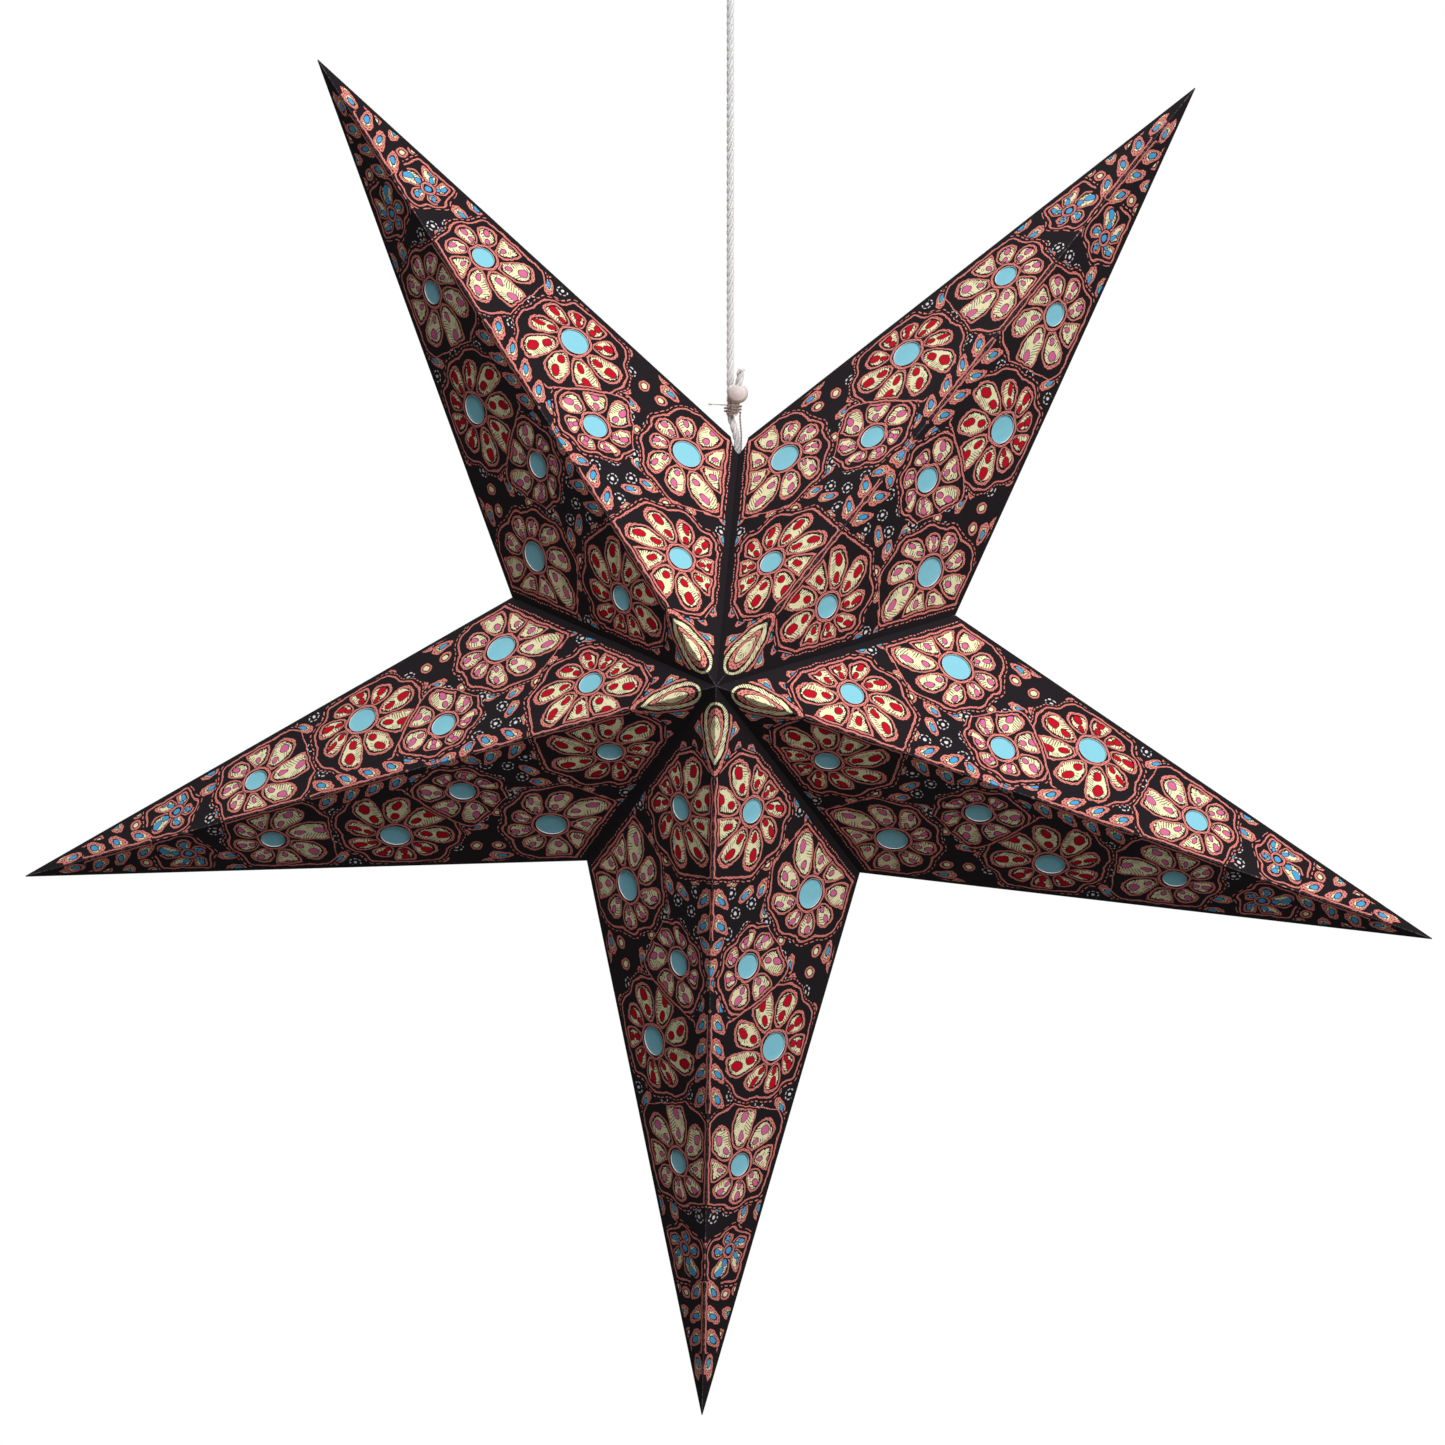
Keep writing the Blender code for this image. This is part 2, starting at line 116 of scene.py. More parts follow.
# The cord and the tie, as in the part
BINDING_Z = CENTRE.z + NOTCH_RADIUS + 0.0147
BINDING_TURNS = 2.25
BINDING_RISE = 0.00125 * BINDING_TURNS
TURN_POINTS = 24
LOOSE_END = 0.0105
END_LEAN = radians(17.4)
END_TURN = radians(-58)
END_TAIL = 0.0062
END_FOOT = 0.0006
BEAD_RADIUS = 0.0044
BEAD_BORE = 0.0019
STOPPER_KNOT = 0.004
TWINE_KNOT = 0.0012
LOOP_KNOT = Vector((0.0052, 0.0046, 0.0042))
LOOP_TOP = -0.029
LOOP_WIDTH = 0.016
SEAM_OUT = Vector((sin(CANT), 0, cos(CANT)))
SEAM_RIGHT = Vector((cos(CANT), 0, -sin(CANT)))
EDGE_S = NOTCH_RADIUS / hypot(NOTCH_RADIUS, APEX_DEPTH)
EDGE_Y = APEX_DEPTH / hypot(NOTCH_RADIUS, APEX_DEPTH)
LACE_ALONG = 0.022
LACE_DEEP = 0.0065
LACE_S = NOTCH_RADIUS - LACE_ALONG * EDGE_S - LACE_DEEP * EDGE_Y
LACE_Y = LACE_ALONG * EDGE_Y - LACE_DEEP * EDGE_S

# What the dressed cord and tie add
LAY_POINTS = 18  # points of a route to one turn of the lay
LOOP_TUCK = 0.0024  # how far the loop's two feet go into the knot
CORD_TUCK = 0.0018  # how far the cord's end goes into it
STOPPER_SHARE = 0.9  # thickness of the stopper knot's cord, drawn tight
KNOT_POINTS = 72
TWINE_STRANDS = 2
END_CUT = 0.0012  # how far the cord is cut short of its frayed end
FIBRE = 0.0022  # length of a frayed end's fibres
CORD_FRAY = (46, 0.75, 0.00011, (1, 1, 0.8, 0.5, 0.3))  # count, spread, radius, thinning
TWINE_FRAY = (9, 0.35, 0.00006, (1, 0.9, 0.7, 0.5))
GOLDEN_ANGLE = 2.399963
BEAD_SHARE = 0.97  # length of the bead along its bore, over its width
BEAD_POINTS = 16
BEAD_STEPS = 40
YARNS = {"cotton_cord": "laid_cotton", "brown_twine": "brown_yarn"}

# The print, in millimetres. A panel's corner at the notch and its tip, along the ridge and from it
NOTCH_ALONG = 1000 * (NOTCH - APEX).dot(RIDGE)
NOTCH_ACROSS = 1000 * (NOTCH - APEX).dot(ACROSS)
TIP_ALONG = 1000 * (TIP - APEX).length

# Flowers: distance along the ridge and across from it, radius of the window or core, reach of the
# petals, how many petals, their turn, 1 for magenta spots, and 1 for a window
FLOWERS = (
    (58, 21.5, 5.1, 27, 9, 0.15, 0, 1),
    (102, 56, 6.4, 27, 9, 0.4, 1, 1),
    (126, 21, 5.4, 19.5, 7, 0.6, 1, 1),
    (166, 37, 6.2, 26, 9, 0.25, 0, 1),
    (215, 19, 5, 25, 8, 0.35, 1, 1),
    (253, 13.6, 1.5, 12.5, 5, 0.7, 0, 0),
)
WINDOWS = [flower[:3] for flower in FLOWERS if flower[-1]]
PETAL_CURL = 0.35  # turn of a petal's tip, in petals
PETAL_SWING = 0.22  # share of its length that a petal gains or loses
SPOTS = ((0.36, 0.27), (-0.4, 0.2))  # place along a petal and size, as shares of its half sizes
SPRIGS = ((99, 16.5), (165, 22), (280.5, 16.5))  # middle and half length on the ridge
SPRIG_PITCH = 11
SPRIG_LEAF = (5.3, 2.35)  # half sizes, as for every leaf
SPRIG_OUT = 5.1  # ridge to the middle of a leaf
SPRIG_LEAN = radians(38)
SPRIG_BAND = 9.6  # ridge to the ground's leaves
APEX_LEAVES = ((20.5, (17, 8.4)), (19.5, (9, 3.6)))  # one in the other, over the ridge
GROUND_CELL = 9  # one leaf, bud or dot of the ground to each
GROUND_LEAF = (4.4, 2.1)
BUDS_FROM, LEAVES_FROM = 0.3, 0.5  # the rest of the cells have dots
BUD_RING = 2.2
DOT_RING = 2.4
VALLEY_BAND = 5.2  # from a valley to the flowers
VALLEY_BARE = 2.8  # from a valley to anything printed
EDGE_BAND = 3.2  # the same from an outer edge
EDGE_BARE = 2
TIP_BARE = 16  # the same from a tip
RIDGE_BAND = 1.2  # from a ridge to the flowers
WOBBLE = 2.2  # how far a line drawn by hand strays
FAR_OFF = 200  # where a stroke isn't wanted, it is drawn that far away
WINDOW_RIM = 0.12  # white cut paper round a window
LINK = 2.2  # one link of chain stitch

# The stage
VIEW_CENTRE = Vector((-0.0033, 0, -0.3542))
SENSOR = 36
FLOOR_RADIUS = 1.5
FLOOR_LEVEL = -1
FLOOR_COLOUR = (0.06,) * 3
FLOOR_SEEN = (0.85,) * 3  # its colour where the camera, a reflection or clear glass looks
FLOOR_WHITE = 0.6  # share of plain white there
FLOOR_SIDES = 96
LAMPS = {"key": Vector((0.76, -1.67, 0.88)), "rear": Vector((-0.70, 1.63, 0.967))}
LAMP_SIZE = 1.1


def ink(*parts):
    """A colour of 0 to 255 parts as the linear numbers that a shader takes."""
    return tuple(Color([part / 255 for part in parts]).from_srgb_to_scene_linear())


def colour_choice(name, description, default):
    return FloatVectorProperty(
        name=name, description=description, default=ink(*default), subtype="COLOR", min=0, max=1
    )


def size_choice(name, description, default, unit="LENGTH"):
    return FloatProperty(
        name=name, description=description, default=default, unit=unit, precision=5
    )


class LanternPaperSettings(PropertyGroup):
    """Paper, print and tissue."""

    black: colour_choice("Black", "Ground of the print", (37, 33, 36))
    coral: colour_choice("Coral", "Chain stitch lines", (240, 146, 136))
    maroon: colour_choice("Maroon", "Shadow beside the chain stitch", (60, 30, 32))
    cream: colour_choice("Cream", "Petals and leaves", (251, 242, 196))
    red: colour_choice("Red", "Spots on every other flower", (200, 24, 46))
    magenta: colour_choice("Magenta", "Spots on the other flowers", (226, 114, 162))
    blue: colour_choice("Blue", "Drops in the leaves", (84, 172, 226))
    white: colour_choice("White", "Dots, running stitch and cut paper", (236, 230, 232))
    tissue: colour_choice("Tissue", "Tissue behind the windows", (144, 218, 236))
    sheet: size_choice("Sheet", "Thickness of the printed paper", PAPER)
    crease: size_choice("Crease", "Width of a fold's bevel", 0.0002)
    tip: size_choice("Tip", "Where a tip ends, short of its sharp corner", 0.0012)
    window_sides: IntProperty(
        name="Window sides", description="Straight cuts round a window", default=40, min=12
    )


class LanternCordSettings(PropertyGroup):
    """Cord, twine and bead."""

    cotton: colour_choice("Cotton", "Laid cotton cord", (252, 249, 247))
    twine: colour_choice("Twine", "Brown binding twine", (178, 154, 142))
    bead: colour_choice("Bead", "Pale wooden bead", (240, 230, 226))
    cord: size_choice("Cord", "Diameter of the cord", 0.0032)
    lay: size_choice("Lay", "Length of one turn of the cord's strands", 0.0105)
    string: size_choice("String", "Diameter of the twine", 0.0008)
    strands: IntProperty(name="Strands", description="Strands in the cord", default=3, min=2)


class LanternStageSettings(PropertyGroup):
    """Camera, floor and lights."""

    azimuth: size_choice("Azimuth", "Camera to the right", radians(4), "ROTATION")
    elevation: size_choice("Elevation", "Camera above", radians(2.7), "ROTATION")
    distance: size_choice("Distance", "Camera to the star", 1.95)
    view_width: size_choice("View width", "What the camera sees across the star", 0.611)
    key: FloatProperty(name="Key", description="Power of the soft lamp above", default=54, min=0)
    rear: FloatProperty(name="Rear", description="Power of the lamp behind", default=42, min=0)
    sky: FloatProperty(name="Sky", description="Light from all round", default=0.04, min=0)


# Node wiring


def maths(operation):
    """A method of Wire that adds one Math node."""
    return lambda self, *others: number(self, operation, *others)


class Wire:
    """What flows along one link of a material. Python's operators add the maths nodes."""

    def __init__(self, tree, socket=None):
        self.tree, self.socket = tree, socket

    def node(self, kind, values=None, output=0, **settings):
        """Adds a shader node: its settings first, then each socket's value or link."""
        made = self.tree.nodes.new("ShaderNode" + kind)
        for name, value in settings.items():
            setattr(made, name, value)
        plug_in(made, values or {})
        return Wire(self.tree, made.outputs[output])

    def outputs(self):
        """The node that this wire comes from, by the names of its outputs."""
        sockets = self.socket.node.outputs
        return {socket.name: Wire(self.tree, socket) for socket in sockets}

    __add__ = __radd__ = maths("ADD")
    __mul__ = __rmul__ = maths("MULTIPLY")
    __and__ = __rand__ = maths("MINIMUM")
    __or__ = __ror__ = maths("MAXIMUM")
    __sub__ = maths("SUBTRACT")
    __truediv__ = maths("DIVIDE")
    __mod__ = maths("FLOORED_MODULO")
    __lt__ = maths("LESS_THAN")
    __gt__ = maths("GREATER_THAN")
    __abs__ = maths("ABSOLUTE")

    def __neg__(self):
        return self * -1

    def __rsub__(self, other):
        return number(self, "MULTIPLY_ADD", -1, other)

    def __rtruediv__(self, other):
        return number(self, "POWER", -1) * other


def plug_in(node, values):
    """Gives each named socket of a node its value, or links a wire to it."""
    for name, value in values.items():
        if isinstance(value, Wire):
            value.tree.links.new(value.socket, node.inputs[name])
        else:
            node.inputs[name].default_value = value


def number(wire, operation, *others, **settings):
    values = dict(enumerate((wire, *others)))
    return wire.node("Math", values, operation=operation, **settings)


def from_middle(x, y):
    """How far a point lies from where x and y are 0."""
    return number(x * x + y * y, "SQRT")


def vector(wire, operation, *others, output=0):
    values = dict(enumerate((wire, *others)))
    return wire.node("VectorMath", values, output, operation=operation)


def scaled(wire, factor):
    """A vector or colour times a number."""
    return wire.node("VectorMath", {0: wire, "Scale": factor}, operation="SCALE")


def along_axes(wire):
    """The x, y and z of a vector."""
    return list(wire.node("SeparateXYZ", {0: wire}).outputs().values())


def either(mask, first, second):
    """The first vector where the mask is 0, the second where it is 1."""
    values = {0: mask, 4: first, 5: second}
    return mask.node("Mix", values, 1, data_type="VECTOR")


def paint(base, colour, mask):
    """A colour laid over the base where the mask is 1."""
    if not isinstance(colour, Wire):
        colour = (*colour, 1)
    if not isinstance(base, Wire):
        base = (*base, 1)
    return mask.node("Mix", {0: mask, 6: base, 7: colour}, 2, data_type="RGBA")


def inside(value, limit, soft=0.12):
    """1 where the value is under the limit, with a soft edge."""
    if isinstance(limit, Wire):
        value, limit = value - limit, 0.0
    return number(value, "MULTIPLY_ADD", -1 / soft, 0.5 + limit / soft, use_clamp=True)


def noise(wire, scale, detail=2.0, output=0, dimensions="3D"):
    values = {"Vector": wire, "Scale": scale, "Detail": detail}
    return wire.node("TexNoise", values, output, noise_dimensions=dimensions)


def new_material(name):
    """A material and a wire to start its nodes from."""
    made = bpy.data.materials.new(name)
    made.use_nodes = True
    return made, Wire(made.node_tree)


def finish_material(material, colour, roughness, height=None, depth=0.0, **constants):
    """Sets a material's shader from wires, with a bump where there is a height."""
    values = {name.replace("_", " "): value for name, value in constants.items()}
    values |= {"Base Color": colour, "Roughness": roughness}
    if height is not None:
        bump = {"Strength": 1.0, "Distance": depth, "Height": height}
        values["Normal"] = height.node("Bump", bump)
    plug_in(material.node_tree.nodes["Principled BSDF"], values)
    return material


# The print. Its bare numbers are stroke widths and spaces in millimetres, or shares


def chain(off, half, links):
    """A line of chain stitch: 1 on its loops and 0 in their eyes."""
    swell = abs(number(links * pi, "SINE"))
    loops = inside(abs(off), half * (0.62 + 0.38 * swell))
    eyes = inside(abs(off), half * 0.2) * (swell > 0.7)
    return loops * (1 - eyes)


def running_stitch(off, half, stitches):
    """A line of single stitches with a space after each."""
    return inside(abs(off), half) * inside(abs(stitches % 1 - 0.5), 0.3, 0.06)


def stitched(colour, off, half, links, inks):
    """Coral chain stitch with its maroon shadow."""
    colour = paint(colour, inks.maroon, inside(abs(off), half + 0.25))
    return paint(colour, inks.coral, chain(off, half, links))


def feathering(x, y, ragged, patch):
    """Thin pen strokes that slant back from the middle line, here and there."""
    strokes = inside((x * 0.75 + abs(y) * 0.6 + ragged * 0.35) % 1, 0.27, 0.08)
    return strokes * inside(-patch, -0.46, 0.03)


def draw_leaf(colour, x, y, size, noises, inks, core=None, only=None):
    """An almond leaf with a stitched outline, feathered cream and a drop in its middle."""
    ragged, patch = noises
    long, wide = size
    if only is not None:
        x = x + (1 - only) * FAR_OFF
    share = x / long
    across = y / (wide * (1 - 0.3 * share))
    reach = from_middle(share, across)
    off = (reach - 1) * wide
    turn = number(across, "ARCTAN2", share) * (long + wide) / (2 * LINK)
    colour = paint(colour, inks.black, inside(off, 1.0))
    colour = stitched(colour, off + 0.1, min(0.6, 0.2 * wide + 0.1), turn, inks)
    cream = inside(off, -0.35 - 0.17 * wide + (ragged - 0.5) * 0.6)
    rib = inside(abs(y), 0.16)
    cream = cream * (1 - (feathering(x, y, ragged, patch) | rib) * inside(-reach, -0.25, 0.1))
    colour = paint(colour, inks.cream, cream)
    if core:
        drop = from_middle((x - 0.12 * long) / (0.42 * long), y / (0.45 * wide))
        colour = paint(colour, inks.black, inside(drop, 1.3, 0.1))
        colour = paint(colour, core, inside(drop, 1.0, 0.1))
    return colour


def nearest_flower(at):
    """How far a point lies past the nearest flower's reach, and past the next one's. Then the
    offset from the nearest flower, and that flower's numbers."""
    first = None
    for along, across, *numbers in FLOWERS:
        off = vector(at, "SUBTRACT", (along, across, 0))
        past = vector(off, "LENGTH", output=1) - numbers[1]
        found = off, numbers[:3], numbers[3:]
        if first is None:
            first, second, chosen = past, None, found
            continue
        closer = past < first
        other = past | first
        second = other if second is None else second & other
        first = past & first
        chosen = [either(closer, *pair) for pair in zip(chosen, found)]
    return first, second, chosen[0], along_axes(chosen[1]), along_axes(chosen[2])


def panel_edges(u, v):
    """How far a point lies inside a panel's outer edge, its valley and its ridge."""
    run, rise = TIP_ALONG - NOTCH_ALONG, NOTCH_ACROSS
    outer = ((TIP_ALONG - u) * rise - v * run) / hypot(run, rise)
    return outer, (u * rise - v * NOTCH_ALONG) / hypot(NOTCH_ALONG, rise), v


def draw_flower(colour, at, edges, noises, inks):
    """Petals round a window or a small core, with a stitched line about them all."""
    ragged, patch = noises
    first, second, off, (core, reach, petals), (turn, tint, window) = nearest_flower(at)
    x, y, _ = along_axes(off)
    radius = vector(off, "LENGTH", output=1)
    around = number(y, "ARCTAN2", x)
    heading = around / (2 * pi)
    swing = number(around + turn * 9, "COSINE")
    reach = reach * (swing * PETAL_SWING + 0.93)
    share = heading * petals + turn + radius / reach * PETAL_CURL
    fold = share % 1 - 0.5
    odd = number(share, "FLOOR") % 2
    angle = fold * 2 * pi / petals
    far = radius * number(angle, "COSINE")
    side = radius * number(angle, "SINE")

    outer, valley, ridge = edges
    scallop = radius - reach - 0.8 - number(fold * 2 * pi, "COSINE")
    border = scallop | (first - second) / 2
    border = border | (VALLEY_BAND - valley) | (EDGE_BAND - outer) | (RIDGE_BAND - ridge)
    colour = paint(colour, inks.black, inside(border, 2.6))
    colour = paint(colour, inks.coral, running_stitch(border - 1.8, 0.22, heading * reach * 2.5))
    colour = stitched(colour, border, 0.46, heading * reach * 2.9, inks)
    colour = paint(colour, inks.black, inside(border, -0.7))

    inner = core + 1.1 * window + 0.2
    outermost = reach * (1 - 0.1 * odd)
    half = (outermost - inner) / 2
    middle = (outermost + inner) / 2
    wide = middle * number(pi / petals, "SINE") * 0.97
    a = (far - middle) / half
    b = side / (wide * (1 + 0.32 * a))
    level = from_middle(a, b)
    edge = (level - 1) * wide | border + 1.1
    turns = number(b, "ARCTAN2", a) * (half + wide) / (2 * LINK)
    colour = stitched(colour, edge + 0.5, 0.43, turns, inks)
    cream = inside(edge + b * 0.5, (ragged - 0.5) * 1.5 - 1.45)
    cream = cream * (1 - feathering(far - middle, side, ragged, patch) * inside(-level, -0.3, 0.1))
    colour = paint(colour, inks.cream, cream)
    spot = paint(paint(inks.red, inks.magenta, tint), inks.blue, 1 - window)
    spread = wide * (1.3 - 0.3 * tint)
    for place, size in SPOTS:
        along = (a - place) * half / 1.4
        blot = from_middle(along, side) - spread * size | edge + 1.4
        colour = paint(colour, inks.maroon, inside(blot, 0.3))
        colour = paint(colour, spot, inside(blot, 0.0))

    colour = paint(colour, inks.black, inside(radius - core, 2.2))
    colour = stitched(colour, radius - core - 1.3, 0.55, heading * core * 3.4, inks)
    return paint(colour, spot, inside(radius, core) * (1 - window))


def draw_ground(at, noises, inks):
    """Small leaves, buds and dots scattered between the flowers."""
    cell = scaled(at, 1 / GROUND_CELL)
    values = {"Vector": cell, "Scale": 1.0, "Randomness": 0.7}
    cells = at.node("TexVoronoi", values, voronoi_dimensions="2D").outputs()
    off = scaled(vector(cell, "SUBTRACT", cells["Position"]), GROUND_CELL)
    chance, heading, _ = along_axes(cells["Color"])
    values = {"Vector": off, "Angle": heading * 2 * pi}
    x, y, _ = along_axes(off.node("VectorRotate", values, rotation_type="Z_AXIS"))
    radius = vector(off, "LENGTH", output=1)
    turns = number(y, "ARCTAN2", x)
    leaf = chance > LEAVES_FROM
    bud = (chance < LEAVES_FROM) * (chance > BUDS_FROM)
    dot = chance < BUDS_FROM
    colour = draw_leaf(inks.black, x, y, GROUND_LEAF, noises, inks, inks.blue, leaf)
    colour = paint(colour, inks.maroon, inside(abs(radius - BUD_RING), 0.8) * bud)
    colour = paint(colour, inks.coral, chain(radius - BUD_RING, 0.5, turns * 1.9) * bud)
    colour = paint(colour, inks.cream, inside(radius, 1.2) * bud)
    colour = paint(colour, inks.white, inside(radius, 0.8) * dot)
    ring = running_stitch(radius - DOT_RING, 0.24, turns * 1.1)
    return paint(colour, inks.white, ring * dot)


def draw_sprigs(colour, u, v, noises, inks):
    """Pairs of small leaves up the ridge, where no flower reaches it."""
    step = number(u / SPRIG_PITCH, "FLOOR")
    middle = (step + 0.5) * SPRIG_PITCH
    here = None
    for at, half in SPRIGS:
        shown = abs(middle - at) < half
        here = shown if here is None else here | shown
    along, across = u - middle, v - SPRIG_OUT
    x = along * cos(SPRIG_LEAN) + across * sin(SPRIG_LEAN)
    y = across * cos(SPRIG_LEAN) - along * sin(SPRIG_LEAN)
    colour = paint(colour, inks.black, inside(v, SPRIG_BAND) * here)
    colour = draw_leaf(colour, x, y, SPRIG_LEAF, noises, inks, inks.blue, here)
    return stitched(colour, v - 1.1 + (1 - here) * FAR_OFF, 0.45, u / 2.6, inks)


def make_printed_paper(inks):
    """Black paper with a stitched flower print, on the map named print."""
    material, wire = new_material("stitched_print")
    flat = scaled(wire.node("UVMap", uv_map="print"), 1000)
    stray = vector(noise(flat, 0.16, 3, 1, "2D"), "SUBTRACT", (0.5, 0.5, 0.5))
    at = vector(flat, "ADD", vector(stray, "MULTIPLY", (WOBBLE, WOBBLE, 0)))
    u, v, _ = along_axes(at)
    true_u, true_v, _ = along_axes(flat)
    noises = noise(flat, 1.1, 2, 0, "2D"), noise(flat, 0.2, 1, 0, "2D")
    edges = panel_edges(u, v)

    colour = draw_ground(at, noises, inks)
    colour = draw_flower(colour, at, edges, noises, inks)
    colour = draw_sprigs(colour, u, v, noises, inks)
    for along, size in APEX_LEAVES:
        colour = draw_leaf(colour, u - along, v, size, noises, inks)
    outer, valley, _ = edges
    for distance, bare in ((outer, EDGE_BARE), (valley, VALLEY_BARE), (TIP_ALONG - u, TIP_BARE)):
        colour = paint(colour, inks.black, inside(distance, bare))
    for along, across, radius in WINDOWS:
        off = vector(flat, "DISTANCE", (along, across, 0), output=1)
        colour = paint(colour, inks.white, inside(off, radius + WINDOW_RIM))

    grain = noise(flat, 2.6, 3, 0, "2D")
    colour = scaled(colour, grain * 0.32 + 0.84)
    # A pale line along the ridge: crease wear, and a painted highlight where the fold catches
    # light.
    ridge_wear_and_highlight = inside(true_v, 0.28, 0.2) * inside(grain, 0.46, 0.1)
    colour = paint(colour, inks.white, ridge_wear_and_highlight * 0.16)
    colour = paint(colour, inks.black, true_u < 0)
    fibre = noise(flat, 1.6, 4, 0, "2D")
    roughness = fibre * 0.22 + 0.5
    height = fibre * 0.05 + noise(flat, 0.022, 1, 0, "2D")
    return finish_material(material, colour, roughness, height, 0.0009, Specular_IOR_Level=0.012)


# Plain materials


def tone(colour, share):
    return tuple(share * part for part in colour)


def object_place(wire):
    return wire.node("TexCoord", output=3)


def make_black_paper(inks):
    """Fibrous black card, paler on its cut edges."""
    material, wire = new_material("black_card")
    fibre = noise(object_place(wire), 900, 4)
    cut = wire.node("Attribute", output=2, attribute_name="cut_edge")
    colour = paint(inks.black, tone(inks.black, 2.2), fibre)
    colour = paint(colour, tone(inks.white, 0.45), cut * 0.6)
    return finish_material(material, colour, 0.7, fibre, 0.0001, Specular_IOR_Level=0.3)


def make_tissue(inks):
    material, wire = new_material("crinkled_tissue")
    place = object_place(wire)
    fibre = noise(place, 1400, 4)
    colour = paint(tone(inks.tissue, 0.86), inks.tissue, fibre)
    height = noise(place, 90, 3) + fibre * 0.15
    return finish_material(material, colour, 0.62, height, 0.0006, Specular_IOR_Level=0.3)


def make_yarn(name, colour, dark, pitch, depth, soft):
    """Spun yarn on the map named lay: turns round the yarn and metres along it. Its colour has
    painted shade in the grooves of its twist.
    """
    material, wire = new_material(name)
    u, v, _ = along_axes(wire.node("UVMap", uv_map="lay"))
    place = object_place(wire)
    fuzz = noise(place, 2600, 3)
    twist = number((u + v / pitch + fuzz * 0.25) * 2 * pi, "SINE")
    # Painted shade: the colour darkens in the grooves of the twist. The fuzz and the patches vary
    # its tone at random.
    light = twist * 0.22 + fuzz * 0.9
    lit = number(noise(place, 260, 2), "MULTIPLY_ADD", 0.6, light - 0.13, use_clamp=True)
    spun = paint(tone(colour, dark), colour, lit)
    bulk = {"Subsurface_Weight": soft, "Subsurface_Radius": (1, 1, 1), "Subsurface_Scale": 0.002}
    height = twist * 0.5 + fuzz
    return finish_material(material, spun, 0.9, height, depth, Specular_IOR_Level=0.2, **bulk)


def make_bead_wood(colour, centre):
    """Bleached wood, dished at the bead's front and back, where painted shade makes it darker and
    rosier.
    """
    material, wire = new_material("bead_wood")
    place = object_place(wire)
    values = {"Vector": place, "Scale": (700, 700, 110)}
    grain = noise(wire.node("Mapping", values), 1.0, 4)
    lines = number(grain, "MULTIPLY_ADD", 1.5, -0.2, use_clamp=True)
    shade = paint(tone(colour, 0.82), colour, lines)
    specks = inside(noise(place, 1500, 2), 0.33, 0.06)
    shade = paint(shade, tone(colour, 0.6), specks * 0.5)
    _, deep, _ = along_axes(vector(place, "SUBTRACT", tuple(centre)))
    # Painted shade: the bead's front and back, along Y, turn darker and rosier, and a bump dishes
    # them.
    dish_shade_mask = inside(-abs(deep) / BEAD_RADIUS, -0.77, 0.2)
    rosy_dish_shade = tuple(part * share for part, share in zip(colour, (0.8, 0.74, 0.74)))
    shade = paint(shade, rosy_dish_shade, dish_shade_mask)
    height = grain * 0.3 - dish_shade_mask
    return finish_material(material, shade, 0.55, height, 0.00022, Specular_IOR_Level=0.3)


# Shapes


def in_scene(name, data):
    made = bpy.data.objects.new(name, data)
    bpy.context.scene.collection.objects.link(made)
    return made


def finished(bm, outward=False):
    """A bmesh as a mesh, with its faces turned outward if asked."""
    if outward:
        bmesh.ops.recalc_face_normals(bm, faces=bm.faces)
    mesh = bpy.data.meshes.new("mesh")
    bm.to_mesh(mesh)
    bm.free()
    return mesh


def add_piece(name, mesh, material, body, replaces, smooth=False):
    """Puts a finished mesh in the scene on its body, in place of its CAD nodes."""
    if not mesh.polygons:
        raise RuntimeError(f"{name} came out empty")
    if smooth:
        mesh.shade_smooth()
    else:
        mesh.shade_flat()
    mesh.name = name
    mesh.materials.clear()
    mesh.materials.append(material)
    piece = in_scene(name, mesh)
    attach(piece, body)
    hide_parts(*replaces)
    return piece


def evaluated(work):
    """The mesh of an object after its modifiers. The object goes."""
    graph = bpy.context.evaluated_depsgraph_get()
    mesh = bpy.data.meshes.new_from_object(work.evaluated_get(graph))
    bpy.data.objects.remove(work)
    return mesh


def stood_along(axis, middle):
    """The placement that turns a shape from +Z to an axis and moves it to its middle."""
    return Matrix.Translation(middle) @ UP.rotation_difference(axis).to_matrix().to_4x4()


def rod_between(bm, start, end, radius, sides):
    size = {"radius1": radius, "radius2": radius, "depth": (end - start).length}
    place = stood_along(end - start, (start + end) / 2)
    bmesh.ops.create_cone(bm, cap_ends=True, segments=sides, matrix=place, **size)


def arm_place(arm):
    angle = CANT + (2 * ARM_NAMES.index(arm) - 1) * HALF_SECTOR
    return Matrix.Translation(CENTRE) @ Matrix.Rotation(angle, 4, "Y")


def pyramid(inset):
    """A whole pyramid that points up, its facets set back by the inset."""
    size = (FACET_DISTANCE - inset) / FACET_DISTANCE
    bm = bmesh.new()
    bmesh.ops.create_cone(bm, cap_ends=True, segments=4, radius1=1, radius2=0, depth=TIP_RADIUS)
    bmesh.ops.translate(bm, verts=bm.verts, vec=TIP / 2)
    scale = Vector((BASE_HALF_WIDTH, APEX_DEPTH, 1)) * size
    bmesh.ops.scale(bm, verts=bm.verts, vec=scale)
    return bm


